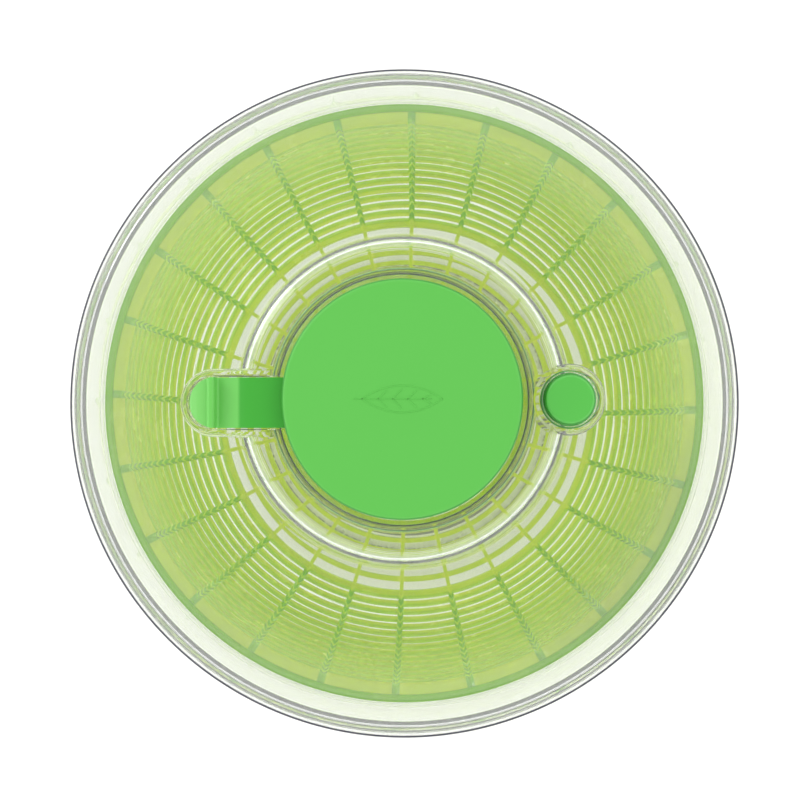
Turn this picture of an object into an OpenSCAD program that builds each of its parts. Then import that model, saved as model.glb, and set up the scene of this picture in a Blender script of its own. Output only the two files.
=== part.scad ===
// Pump salad spinner: clear bowl, slotted basket, clear lid with a pump knob,
// a knob lock and a brake. Millimetres, +Z up, the spin axis on Z, z = 0 on the table.
// The knob is shown pressed down.

/* [Bowl] */
// Outer radius of the rim
rim_r = 133.7; // [120:0.1:150]
// Height of the rim's top
rim_z = 151; // [130:1:170]
// Wall thickness
bowl_wall = 2.6; // [2:0.1:4]
// Outer radius of the side just under the rim
bowl_top_r = 130.2; // [120:0.1:140]
// How far the side draws in from the rim to the base
bowl_taper = 31; // [15:1:50]
// Radius of the rounded bottom corner
bowl_corner_r = 16; // [8:1:30]
// Height of the underside of the floor
bowl_floor_z = 3; // [2:0.5:6]
// Middle radius of the foot
foot_r = 66; // [50:1:85]
// Width of the soft ring in the foot
foot_w = 7; // [5:0.5:12]
// Radius of the centre pin the basket turns on
pin_r = 6; // [4:0.5:9]
// Top of the centre pin
pin_top_z = 26; // [20:1:32]
// Width of the rim's lip outside the lid
rim_lip_w = 2; // [1.6:0.1:4]

/* [Basket] */
// Number of upright ribs
rib_count = 24; // [12:1:36]
// Width of a rib
rib_w = 2.2; // [1.2:0.1:4]
// How far a rib stands out behind the wall
rib_depth = 3.2; // [2:0.1:5]
// Turn of the first rib about the axis, in degrees
rib_phase = -1.6; // [-15:0.1:15]
// Number of level slots in the wall
slot_count = 15; // [8:1:20]
// Height of the lowest slot's middle
slot_z0 = 22; // [18:0.5:30]
// Height from one slot to the next
slot_pitch = 8.3; // [6:0.1:10]
// Height of a slot
slot_h = 4; // [2:0.1:5]
// Thickness of the wall
basket_wall = 1.4; // [1.2:0.1:3]
// Outer radius of the basket's rim
basket_rim_r = 120; // [110:0.1:125]
// Middle radius of the outermost floor gap
floor_gap_r = 85.4; // [80:0.1:88]
// Distance from one floor gap to the next
floor_pitch = 6.25; // [5:0.05:8]
// Number of floor gaps
floor_gaps = 8; // [4:1:9]
// Width of a floor gap
floor_gap_w = 3.5; // [2:0.1:4]
// Width of a floor spoke
spoke_w = 1.8; // [1.2:0.1:3]

/* [Lid] */
// Outer radius of the lid
lid_r = 131.3; // [128:0.1:131.4]
// Thickness of the lid
lid_wall = 2.1; // [1.6:0.1:3]
// Height of the lid's shallow dome
dome_h = 7; // [2:0.5:12]
// Height of the flat top around the knob
deck_z = 187.65; // [175:0.05:195]
// Radius where the top's rounded shoulder begins
deck_r = 56.5; // [52:0.1:60]
// Radius of the shoulder's rounding
shoulder_r = 5.85; // [2:0.05:8]
// Radius of the well the knob sits in
well_r = 47.2; // [46:0.1:52]
// Height of the well's floor
well_z = 154; // [152:0.5:158]

/* [Knob and screw] */
// Radius of the knob
knob_r = 45; // [40:0.1:46]
// Height of the knob's top when it is down
knob_top_z = 197; // [185:1:205]
// Radius of the knob's skirt
skirt_r = 40.5; // [36:0.1:42]
// Radius over the lobes of the drive screw
screw_r = 5.8; // [4:0.1:6.2]
// Rise of the drive screw in one turn
screw_lead = 30; // [20:1:60]

/* [Knob lock] */
// Half of the lock tab's width
tab_half = 9.5; // [7:0.1:12]
// Distance from the axis to the tab's outer end
tab_end = 80.3; // [74:0.1:84]
// Sideways offset of the lock
lock_y = -1.2; // [-3:0.1:3]
// Half of the lock housing's width
lock_house_half = 12.9; // [11:0.1:15]

/* [Brake] */
// Distance from the axis to the brake button
brake_x = 63; // [60:0.5:66]
// Radius of the brake button
brake_r = 9.6; // [7:0.1:11]
// Radius of the brake housing
brake_house_r = 13.6; // [12:0.1:15]

/* [Hidden] */
$fn = 96;

clear = [0.9, 0.93, 0.93, 0.4];
lime = [0.62, 0.78, 0.35];
green = [0.40, 0.79, 0.35];
acetal = [0.95, 0.95, 0.92];
steel = [0.72, 0.73, 0.75];
rubber_grey = [0.80, 0.82, 0.82];

inner_floor_z = bowl_floor_z + bowl_wall;
corner_z = bowl_floor_z + bowl_corner_r;
basket_floor_z = 13;
basket_floor_top = 16;
basket_top_z = 146.2;
hub_z = 34;
hub_foot_r = 18;
slot_top_z = slot_z0 + slot_pitch * (slot_count - 1);
deck_under = deck_z - lid_wall;
dome_r = 66;
cap_z = knob_top_z - 6;
tray_z = deck_z - 3.95;
tab_x = -(tab_end - tab_half);
screw_bottom = 139;
nut_z = 166.3;

// Points on an arc about [x, z], from angle a0 to a1 in n steps
function arc(x, z, r, a0, a1, n) =
  [for (i = [0:n]) let (a = a0 + (a1 - a0) * i / n) [x + r * cos(a), z + r * sin(a)]];

// Outer radius of the bowl's side at a height
function bowl_r(z) = bowl_top_r - bowl_taper * pow(1 - z / (rim_z - 5), 2);

// Lean of the bowl's side from upright just above the corner, in degrees
bowl_lean = atan(2 * bowl_taper / (rim_z - 5) * (1 - 13 / (rim_z - 5)));
corner_x = bowl_r(corner_z - bowl_corner_r * sin(bowl_lean)) - bowl_corner_r * cos(bowl_lean);

// Middle radius of the basket's wall at a height
function wall_r(z) = let (t = (z - slot_z0) / (slot_top_z - slot_z0))
  112 + 1.5 * t - 20.6 * pow(1 - t, 2);

// Height of the lid's top surface at a radius outside the platform
function dome_z(r) = rim_z + 9.2 - dome_h * pow((r - dome_r) / 53, 2);

// Middle of one floor gap, counted from the outside, and its half width
function gap_r(k) = floor_gap_r - floor_pitch * k;
function gap_half(k) = k == 0 ? floor_gap_w / 2 + 0.5 : floor_gap_w / 2;

// Round wire wound into an upright coil
module coil(mean_r, wire_r, z0, z1, turns) {
  steps = turns * 20;
  sides = 8;
  pitch = (z1 - z0 - 2 * wire_r) / turns;
  points = [for (i = [0:steps], j = [0:sides - 1])
    let (a = 360 * i / 20, b = 360 * j / sides, r = mean_r + wire_r * cos(b))
    [r * cos(a), r * sin(a), z0 + wire_r + pitch * i / 20 + wire_r * sin(b)]];
  skin = [for (i = [0:steps - 1], j = [0:sides - 1])
    let (k = (j + 1) % sides)
    [i * sides + j, (i + 1) * sides + j, (i + 1) * sides + k, i * sides + k]];
  ends = [[for (j = [0:sides - 1]) j],
    [for (j = [sides - 1:-1:0]) steps * sides + j]];
  polyhedron(points, concat(skin, ends), convexity = 10);
}

// Copies of the children around the axis
module around(count, phase = 0) {
  for (i = [0:count - 1]) rotate([0, 0, phase + 360 * i / count]) children();
}

// Upright block with one round end, pointing to -X
module stadium(half, x_round, x_end, z0, z1) {
  translate([x_round, 0, z0]) cylinder(r = half, h = z1 - z0);
  translate([x_round, -half, z0]) cube([x_end - x_round, 2 * half, z1 - z0]);
}

module bowl() {
  side_top = rim_z - 5.6;
  side_bottom = corner_z - bowl_corner_r * sin(bowl_lean);
  steps = 12;
  outside = [for (i = [1:steps])
    let (z = side_bottom + (side_top - side_bottom) * i / steps) [bowl_r(z), z]];
  inside = [for (i = [steps:-1:1])
    let (z = side_bottom + (side_top - side_bottom) * i / steps) [bowl_r(z) - bowl_wall, z]];
  color(clear) rotate_extrude() polygon(concat(
    [[0, pin_top_z - 4], [2.6, pin_top_z - 4], [3.4, 13], [7, 7.5], [12, bowl_floor_z]],
    [[foot_r - foot_w / 2 - 1.5, bowl_floor_z], [foot_r - foot_w / 2 - 1.5, 1.2],
     [foot_r - foot_w / 2, 1.2], [foot_r - foot_w / 2, 2.6],
     [foot_r + foot_w / 2, 2.6], [foot_r + foot_w / 2, 1.2],
     [foot_r + foot_w / 2 + 1.5, 1.2], [foot_r + foot_w / 2 + 1.5, bowl_floor_z]],
    arc(corner_x, corner_z, bowl_corner_r, -90, -bowl_lean, 8),
    outside,
    [[bowl_top_r + 1.4, rim_z - 5.2], [rim_r - 0.8, rim_z - 4.6], [rim_r, rim_z - 3.6],
     [rim_r, rim_z - 2.2], [rim_r - 0.8, rim_z - 0.4], [rim_r - 1.1, rim_z],
     [rim_r - rim_lip_w + 0.3, rim_z], [rim_r - rim_lip_w, rim_z - 0.3],
     [rim_r - rim_lip_w, rim_z - 3.6], [bowl_r(side_top) - bowl_wall, rim_z - 3.6]],
    inside,
    arc(corner_x, corner_z, bowl_corner_r - bowl_wall, -bowl_lean, -90, 8),
    [[17, inner_floor_z], [12, 6.8], [9, 9.4], [6.8, 12.2], [pin_r, 14],
     [pin_r, pin_top_z - 1.6], [pin_r - 0.6, pin_top_z - 0.6],
     [pin_r - 1.8, pin_top_z], [0, pin_top_z]]
  ));
}

module base_ring() {
  r0 = foot_r - foot_w / 2;
  r1 = foot_r + foot_w / 2;
  color(rubber_grey) rotate_extrude() polygon([
    [r0, 0.9], [r0 + 0.9, 0], [r1 - 0.9, 0], [r1, 0.9], [r1, 2.6], [r0, 2.6]]);
}

module pivot_bearing() {
  color(acetal) rotate_extrude() polygon([
    [pin_r + 0.3, 14.2], [12, 14.2], [12, 16.2], [9, 16.2], [9, pin_top_z + 2.2],
    [8, pin_top_z + 3], [0, pin_top_z + 3], [0, pin_top_z + 0.1],
    [pin_r + 0.3, pin_top_z + 0.1]]);
}

// Floor bars, corner, wall slats and rim of the basket, before the ribs and spokes
module basket_rings() {
  last = floor_gaps - 1;
  web_r = gap_r(last) - gap_half(last);
  rotate_extrude() polygon([
    [hub_foot_r, basket_floor_z], [web_r, basket_floor_z], [web_r, basket_floor_top],
    [24, basket_floor_top], [hub_foot_r, basket_floor_top + 1]]);
  for (k = [0:floor_gaps - 2])
    rotate_extrude() polygon([
      [gap_r(k + 1) + gap_half(k + 1), basket_floor_z],
      [gap_r(k) - gap_half(k), basket_floor_z],
      [gap_r(k) - gap_half(k), basket_floor_top - 0.4],
      [gap_r(k) - gap_half(k) - 0.4, basket_floor_top],
      [gap_r(k + 1) + gap_half(k + 1) + 0.4, basket_floor_top],
      [gap_r(k + 1) + gap_half(k + 1), basket_floor_top - 0.4]]);
  half = basket_wall / 2;
  low = slot_z0 - slot_h / 2;
  edge = gap_r(0) + gap_half(0);
  rotate_extrude() polygon([
    [edge, basket_floor_z], [edge + 1.7, basket_floor_z], [edge + 3.5, basket_floor_z + 1.8],
    [wall_r(low) + half, low], [wall_r(low) - half, low],
    [edge + 1.5, basket_floor_top + 1], [edge + 0.6, basket_floor_top],
    [edge, basket_floor_top]]);
  for (i = [1:slot_count - 1])
    let (z0 = slot_z0 + slot_pitch * (i - 1) + slot_h / 2,
         z1 = slot_z0 + slot_pitch * i - slot_h / 2)
      rotate_extrude() polygon([
        [wall_r(z0) - half, z0], [wall_r(z0) + half, z0],
        [wall_r(z1) + half, z1], [wall_r(z1) - half, z1]]);
  high = slot_top_z + slot_h / 2;
  rotate_extrude() polygon([
    [wall_r(high) - half, high], [wall_r(high) + half, high],
    [basket_rim_r - 4.6, basket_top_z - 5.0], [basket_rim_r - 2.4, basket_top_z - 4.0],
    [basket_rim_r - 0.6, basket_top_z - 3.2], [basket_rim_r, basket_top_z - 2.6],
    [basket_rim_r, basket_top_z - 0.4], [basket_rim_r - 0.4, basket_top_z],
    [basket_rim_r - 2.6, basket_top_z], [basket_rim_r - 3.2, basket_top_z - 0.5],
    [basket_rim_r - 3.6, basket_top_z - 3], [basket_rim_r - 6.4, basket_top_z - 4.6]]);
}

// Hollow cone in the middle of the basket's floor, over the pivot bearing
module basket_hub() {
  color(lime) rotate_extrude() polygon([
    [9.05, 16.3], [12.5, 16.3], [12.5, basket_floor_z], [hub_foot_r, basket_floor_z],
    [hub_foot_r, basket_floor_top + 1], [15.4, 20], [13.6, hub_z - 5],
    [11.5, hub_z - 1.6], [8, hub_z], [0, hub_z],
    [0, pin_top_z + 3.2], [9.05, pin_top_z + 3.2]]);
}

// One upright rib behind the wall
module basket_rib() {
  z0 = basket_floor_z + 0.4;
  z1 = basket_top_z - 4.2;
  steps = 12;
  rotate([90, 0, 0]) translate([0, 0, -rib_w / 2]) linear_extrude(rib_w) polygon(concat(
    [for (i = [0:steps]) let (z = z0 + 6 + (z1 - z0 - 6) * i / steps)
      [wall_r(z) + rib_depth * (i == steps ? 0.8 : 1), z]],
    [for (i = [steps:-1:0]) let (z = z0 + 6 + (z1 - z0 - 6) * i / steps) [wall_r(z) - 0.4, z]],
    [[gap_r(0) + gap_half(0) + 0.6, z0 + 2], [gap_r(0) + gap_half(0) + 0.6, z0]]));
}

module basket() {
  color(lime) {
    basket_rings();
    around(rib_count, rib_phase) basket_rib();
    around(rib_count, rib_phase)
      translate([30, -spoke_w / 2, basket_floor_z + 0.2])
        cube([gap_r(0) + gap_half(0) - 28.6, spoke_w, 2.5]);
  }
}

// Section of the lid: skirt edge, dome, platform, shoulder, deck and well
module lid_section() {
  steps = 8;
  top = [for (i = [0:steps]) let (r = 119 - (119 - 66.4) * i / steps) [r, dome_z(r)]];
  under = [for (i = [steps:-1:0])
    let (r = 119 - (119 - 66.4) * i / steps) [r, dome_z(r) - lid_wall]];
  polygon(concat(
    [[lid_r - 2.1, rim_z - 3.5], [lid_r, rim_z - 3.5], [lid_r, rim_z + 0.6],
     [lid_r - 0.3, rim_z + 1.3], [lid_r - 1, rim_z + 1.9], [lid_r - 2, rim_z + 2.1]],
    top,
    arc(dome_r, dome_z(66) + 1.2, 1, -100, -180, 4),
    [[64.9, dome_z(66) + 2.4]],
    arc(deck_r, deck_z - shoulder_r, shoulder_r, 0, 90, 9),
    [[well_r + 1.2, deck_z], [well_r + 0.5, deck_z - 0.2], [well_r + 0.1, deck_z - 0.6],
     [well_r, deck_z - 1.2], [well_r, well_z], [12, well_z], [12, well_z - 2],
     [well_r + lid_wall, well_z - 2], [well_r + lid_wall, deck_under],
     [deck_r, deck_under]],
    arc(deck_r, deck_z - shoulder_r, shoulder_r - lid_wall, 90, 0, 9),
    [[62.8, dome_z(66) + 0.6]],
    arc(66.4, dome_z(66) + 1.1, 3.1, -165, -95, 4),
    under,
    [[lid_r - 2.9, rim_z - 0.1], [lid_r - 2.2, rim_z - 0.8]]));
}

module lid_cover() {
  house_x = -(84 - lock_house_half);
  color(clear) difference() {
    union() {
      rotate_extrude() lid_section();
      translate([brake_x, 0, 0]) rotate_extrude() polygon(concat(
        [[0, 158.2], [brake_house_r, 158.2], [brake_house_r, deck_z - 1.6]],
        arc(brake_house_r - 1.6, deck_z - 1.6, 1.6, 0, 90, 4), [[0, deck_z]]));
      translate([0, lock_y, 0])
        stadium(lock_house_half, house_x, -50, 158.2, deck_z);
    }
    translate([brake_x, 0, 161.2]) cylinder(r = brake_house_r - 2, h = deck_under - 161.2);
    translate([brake_x, 0, 150]) cylinder(r = 3.4, h = 20);
    translate([brake_x, 0, deck_under - 1]) cylinder(r = brake_r + 0.4, h = 5);
    translate([0, lock_y, 0]) {
      stadium(tab_half + 0.4, tab_x, -40, tray_z, deck_z + 3);
      stadium(lock_house_half - 2, house_x, -51.6, 150, tray_z - 2);
      translate([-68, -2.4, tray_z - 3]) cube([16, 4.8, 4]);
    }
    around(3, 30) translate([20, 0, well_z - 3]) cylinder(r = 1.6, h = 4, $fn = 24);
  }
}

module guide_tower() {
  color(acetal) difference() {
    union() {
      translate([0, 0, well_z]) cylinder(r = 24, h = 2.5);
      translate([0, 0, well_z]) cylinder(r = 16, h = 30);
    }
    translate([0, 0, well_z - 1]) cylinder(r = 14, h = 29);
    translate([0, 0, well_z]) cylinder(r = 6.8, h = 32);
    around(3, 30) translate([20, 0, well_z - 1]) cylinder(r = 1.7, h = 5, $fn = 24);
  }
}

module tower_screws() {
  color(steel) around(3, 30) translate([20, 0, 0]) difference() {
    rotate_extrude($fn = 24) polygon([
      [0, well_z - 1.9], [1.2, well_z - 1.9], [1.6, well_z - 1.4], [1.6, well_z + 2.5],
      [3, well_z + 2.5], [3, well_z + 3.6], [2.2, well_z + 4.4], [0, well_z + 4.4]]);
    translate([-2, -0.3, well_z + 3.6]) cube([4, 0.6, 2]);
    translate([-0.3, -2, well_z + 3.6]) cube([0.6, 4, 2]);
  }
}

module bearing_bush() {
  color(acetal) rotate_extrude() polygon([
    [10.05, 151.6], [12, 151.6], [12, well_z], [13.6, well_z], [13.6, well_z + 1.6],
    [12.6, well_z + 1.6], [12.6, well_z + 3], [10.05, well_z + 3]]);
}

module thrust_washer() {
  color(steel) translate([0, 0, well_z + 3]) difference() {
    cylinder(r = 13, h = 1);
    translate([0, 0, -1]) cylinder(r = 10.3, h = 3);
  }
}

module clutch_spring() {
  color(steel) coil(10.2, 0.5, nut_z + 10.2, 181.6, 3);
}

module return_spring() {
  color(steel) coil(28, 0.9, well_z + 0.2, cap_z - 3.3, 7);
}

// Ring of sloped ratchet teeth that stand on the level z
module ratchet(z, inner_r, outer_r, rise) {
  around(12) translate([inner_r, 0, z]) rotate([90, 0, 90])
    linear_extrude(outer_r - inner_r)
      polygon([[-1.7, -0.5], [1.7, -0.5], [1.7, 0.2], [1.4, rise], [-1.7, 0.2]]);
}

module clutch_rotor() {
  color(acetal) {
    rotate_extrude() polygon([
      [0, 134], [8, 134], [9.2, 135], [9.2, 143.6], [8.6, 143.6], [8.6, 144.8],
      [10, 144.8], [10, well_z + 4.1], [12.8, well_z + 4.1], [12.8, 164],
      [6.6, 164], [6.6, 136], [0, 136]]);
    ratchet(164, 8, 12.6, 1.8);
  }
}

module drive_disc() {
  color(clear) rotate_extrude() polygon([
    [10, 144.8], [15, 144.8], [16, 146.4], [22, 149.1], [66, 149.1], [84, 148.6],
    [102, 147.6], [116, 146.6], [118, 146.5], [120.5, 146.5], [120.5, 143.6],
    [122, 143.6], [122, 147.7], [121.4, 148.3], [118, 148.4], [102, 149.4],
    [84, 150.4], [66, 150.9], [10, 150.9]]);
}

module rotor_clip() {
  color(steel) translate([0, 0, 143.7]) difference() {
    cylinder(r = 12.4, h = 1);
    translate([0, 0, -1]) cylinder(r = 8.7, h = 3);
    translate([0, -3.5, -1]) cube([14, 7, 3]);
  }
}

module drive_nut() {
  color(acetal) difference() {
    translate([0, 0, nut_z]) cylinder(r = 13.2, h = 9.8);
    translate([0, 0, nut_z - 1]) cylinder(r = screw_r + 0.4, h = 12);
    around(12) translate([8, 0, nut_z]) rotate([90, 0, 90])
      linear_extrude(8) polygon([[-1.9, -1], [1.9, -1], [1.9, 0.2], [1.6, 1.8], [-1.9, 0.2]]);
  }
}

module pump_knob() {
  color(green) {
    difference() {
      union() {
        translate([0, 0, cap_z]) cylinder(r = knob_r - 1.1, h = 3);
        translate([0, 0, cap_z - 5.6]) cylinder(r = 9.5, h = 6);
      }
      translate([0, 0, cap_z - 6]) cylinder(r = screw_r + 0.05, h = 6);
      translate([0, 0, cap_z - 1]) cylinder(r = 2, h = 6);
      translate([0, 0, cap_z + 1.4]) cylinder(r = 4.2, h = 4);
    }
    rotate_extrude() polygon([
      [skirt_r - 2.2, well_z + 1], [skirt_r, well_z + 1], [skirt_r, cap_z - 10.5],
      [skirt_r + 2.6, cap_z - 10.5], [skirt_r + 3.3, cap_z - 9.8],
      [skirt_r + 3.3, cap_z - 8.5], [skirt_r + 2.8, cap_z - 8], [skirt_r, cap_z - 8],
      [skirt_r, cap_z], [skirt_r - 2.2, cap_z]]);
    around(8) translate([9, -0.8, cap_z - 3]) cube([skirt_r - 10.4, 1.6, 3]);
  }
}

module knob_pad() {
  color(green) rotate_extrude() polygon(concat(
    [[0, cap_z + 3], [knob_r - 1.1, cap_z + 3], [knob_r - 1.1, cap_z],
     [knob_r - 0.3, cap_z], [knob_r, cap_z + 0.3]],
    arc(knob_r - 2, knob_top_z - 2, 2, 0, 90, 6),
    [[0, knob_top_z]]));
}

module drive_screw() {
  length = cap_z - 0.1 - screw_bottom;
  color(steel) translate([0, 0, screw_bottom])
    linear_extrude(length, twist = -360 * length / screw_lead, slices = 36)
      polygon([for (a = [0:10:350]) (screw_r - 0.9 + 0.9 * cos(3 * a)) * [cos(a), sin(a)]]);
}

module screw_retainer() {
  color(steel) difference() {
    rotate_extrude($fn = 32) polygon([
      [0, cap_z - 7.6], [1.1, cap_z - 7.6], [1.5, cap_z - 7], [1.5, cap_z + 1.5],
      [4, cap_z + 1.5], [4, cap_z + 2.2], [3.2, cap_z + 2.8], [0, cap_z + 2.8]]);
    translate([-2.4, -0.4, cap_z + 2]) cube([4.8, 0.8, 2]);
    translate([-0.4, -2.4, cap_z + 2]) cube([0.8, 4.8, 2]);
  }
}

module brake_button() {
  color(green) translate([brake_x, 0, 0]) rotate_extrude() polygon(concat(
    [[3, 179], [5, 179], [5, 183], [11, 183], [11, 185.3], [brake_r, 185.3]],
    arc(brake_r - 1.8, 188.4, 1.8, 0, 80, 5),
    [[brake_r - 3.4, 189.9], [0, 189.5], [0, 186.2], [3, 186.2]]));
}

module brake_stem() {
  color(acetal) translate([brake_x, 0, 0]) rotate_extrude($fn = 48) polygon([
    [0, 155.8], [4.6, 155.8], [4.6, 156.8], [3, 157.4], [3, 186.1], [0, 186.1]]);
}

module brake_pad() {
  color(rubber_grey) translate([brake_x, 0, 0]) rotate_extrude() polygon([
    [0, 154.6], [6.2, 154.6], [7, 155.2], [7, 157.6], [3.1, 157.6], [4.7, 156.9],
    [4.7, 155.7], [0, 155.7]]);
}

module brake_spring() {
  color(steel) translate([brake_x, 0, 0]) coil(6.6, 0.45, 161.4, 182.8, 7);
}

// Side view of the tab's body, drawn outward from the knob
module tab_side() {
  t = tray_z + 0.3;
  polygon([
    [-44.3, t], [-tab_end, t], [-tab_end, t + 4.0], [-tab_end + 0.8, t + 5.0],
    [-tab_end + 3, t + 5.5], [-73.6, t + 5.7], [-73.0, t + 8.2], [-72.3, t + 8.8],
    [-71.0, t + 8.8], [-70.4, t + 8.2], [-70.0, t + 4.4], [-69.2, t + 3.8],
    [-66.0, t + 4.2], [-62.0, t + 5.4], [-58, t + 5.9], [-44.3, t + 5.9]]);
}

module lock_tab() {
  color(green) translate([0, lock_y, 0]) {
    intersection() {
      rotate([90, 0, 0]) translate([0, 0, -20]) linear_extrude(40) tab_side();
      stadium(tab_half, tab_x, -40, 170, 200);
    }
    translate([-66, -2, tray_z - 2.7]) cube([10, 4, 3.1]);
  }
}

bowl();
base_ring();
pivot_bearing();
basket();
basket_hub();
lid_cover();
guide_tower();
tower_screws();
bearing_bush();
thrust_washer();
clutch_spring();
return_spring();
clutch_rotor();
drive_disc();
rotor_clip();
drive_nut();
pump_knob();
knob_pad();
drive_screw();
screw_retainer();
brake_button();
brake_stem();
brake_pad();
brake_spring();
lock_tab();
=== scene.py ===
import bpy, bmesh, math
from mathutils import Vector, Matrix


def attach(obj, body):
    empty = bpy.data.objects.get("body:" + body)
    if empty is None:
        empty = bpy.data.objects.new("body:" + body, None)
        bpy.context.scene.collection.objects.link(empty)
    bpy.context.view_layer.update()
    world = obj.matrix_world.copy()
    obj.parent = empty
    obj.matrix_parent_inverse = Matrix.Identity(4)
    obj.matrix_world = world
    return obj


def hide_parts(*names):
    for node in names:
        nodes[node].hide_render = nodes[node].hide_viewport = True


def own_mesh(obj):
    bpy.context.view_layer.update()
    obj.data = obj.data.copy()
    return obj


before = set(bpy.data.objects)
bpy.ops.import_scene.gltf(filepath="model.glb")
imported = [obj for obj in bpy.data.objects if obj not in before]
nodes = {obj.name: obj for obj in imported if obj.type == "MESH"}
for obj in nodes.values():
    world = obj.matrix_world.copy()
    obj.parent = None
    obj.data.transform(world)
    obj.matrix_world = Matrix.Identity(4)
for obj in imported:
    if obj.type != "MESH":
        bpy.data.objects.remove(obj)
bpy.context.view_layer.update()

mm = 0.001
tiny = 1e-6   # lengths under this count as none
weld = 0.002 * mm   # vertices closer than this are one


# Colours, nodes and small mesh helpers.

def srgb(text, alpha=1.0):
    # Turns a sRGB hex colour to linear.
    values = [int(text[i:i + 2], 16) / 255 for i in (1, 3, 5)]
    linear = [v / 12.92 if v <= 0.04045 else ((v + 0.055) / 1.055) ** 2.4 for v in values]
    return (*linear, alpha)


def addNode(material, kind, settings=None, links=None):
    node = material.node_tree.nodes.new(kind)
    for key, value in (settings or {}).items():
        if isinstance(key, int) or key in node.inputs:
            node.inputs[key].default_value = value
        else:
            setattr(node, key, value)
    for key, source in (links or {}).items():
        material.node_tree.links.new(source, node.inputs[key])
    return node


def newMaterial(name):
    material = bpy.data.materials.new(name)
    material.use_nodes = True
    material.node_tree.nodes.clear()
    return material


def arc(x, z, r, a0, a1, n):
    steps = [math.radians(a0 + (a1 - a0) * i / n) for i in range(n + 1)]
    return [(x + r * math.cos(a), z + r * math.sin(a)) for a in steps]


def meshObject(name, verts, faces, smooth=True):
    mesh = bpy.data.meshes.new(name)
    mesh.from_pydata([Vector(v) * mm for v in verts], [], faces)
    mesh.update()
    if smooth:
        mesh.polygons.foreach_set("use_smooth", [True] * len(mesh.polygons))
    piece = bpy.data.objects.new(name, mesh)
    bpy.context.scene.collection.objects.link(piece)
    return piece


def lathe(name, section, turns=256, centre=(0, 0)):
    # A closed section in (radius, height), turned about an upright axis. Points on the axis are shared.
    verts, rows = [], []
    for r, z in section:
        if r < tiny:
            rows.append([len(verts)] * turns)
            verts.append((centre[0], centre[1], z))
        else:
            rows.append(list(range(len(verts), len(verts) + turns)))
            for i in range(turns):
                a = 2 * math.pi * i / turns
                verts.append((centre[0] + r * math.cos(a), centre[1] + r * math.sin(a), z))
    faces = []
    for k in range(len(rows)):
        low, high = rows[k], rows[(k + 1) % len(rows)]
        if low[0] == low[1] and high[0] == high[1]:
            continue
        for i in range(turns):
            j = (i + 1) % turns
            ring = [low[i], low[j], high[j], high[i]]
            faces.append([v for n, v in enumerate(ring) if v not in ring[:n]])
    piece = meshObject(name, verts, faces)
    recalculate(piece)
    return piece


def recalculate(piece):
    cage = bmesh.new()
    cage.from_mesh(piece.data)
    bmesh.ops.recalc_face_normals(cage, faces=cage.faces)
    cage.to_mesh(piece.data)
    cage.free()


def roundedSection(points, radii, steps=4):
    # Rounds each corner of a closed section by the radius given for it.
    result = []
    count = len(points)
    share = 0.49   # a corner takes at most this share of an edge
    for i, (x, z) in enumerate(points):
        r = radii[i]
        here = Vector((x, z))
        back = Vector(points[i - 1]) - here
        ahead = Vector(points[(i + 1) % count]) - here
        if r <= 0 or x < tiny or back.length < tiny or ahead.length < tiny:
            result.append((x, z))
            continue
        half = back.angle(ahead) / 2
        reach = min(r / math.tan(half), back.length * share, ahead.length * share)
        start = here + back.normalized() * reach
        end = here + ahead.normalized() * reach
        for k in range(steps + 1):
            t = k / steps
            p = start * (1 - t) ** 2 + here * 2 * t * (1 - t) + end * t ** 2
            result.append((p.x, p.y))
    return result


def refinedCopy(node, name, width):
    # A copy of a CAD node with its coplanar triangles merged, and its sharp edges rounded.
    mesh = nodes[node].data.copy()
    mesh.materials.clear()
    piece = bpy.data.objects.new(name, mesh)
    bpy.context.scene.collection.objects.link(piece)
    cage = bmesh.new()
    cage.from_mesh(mesh)
    bmesh.ops.remove_doubles(cage, verts=cage.verts, dist=weld)
    bmesh.ops.dissolve_degenerate(cage, edges=cage.edges, dist=weld)
    flat, sharp = math.radians(0.6), math.radians(28)
    bmesh.ops.dissolve_limit(cage, angle_limit=flat, verts=cage.verts, edges=cage.edges)
    cage.to_mesh(mesh)
    cage.free()
    mesh.polygons.foreach_set("use_smooth", [True] * len(mesh.polygons))
    bevel = piece.modifiers.new("edges", "BEVEL")
    bevel.width = width * mm
    bevel.segments = 3
    bevel.limit_method = "ANGLE"
    bevel.angle_limit = sharp
    bevel.use_clamp_overlap = True
    bevel.harden_normals = False
    normals = piece.modifiers.new("normals", "WEIGHTED_NORMAL")
    normals.keep_sharp = True
    return piece


def place(piece, material, body, slot, *replaced):
    piece.data.materials.clear()
    piece.data.materials.append(material)
    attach(piece, body)
    if replaced:
        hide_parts(*replaced)


def dressFaces(piece, material, chosen):
    # One more material, on the faces that the test picks.
    piece.data.materials.append(material)
    last = len(piece.data.materials) - 1
    for face in piece.data.polygons:
        if chosen(face):
            face.material_index = last


# Materials.

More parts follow.
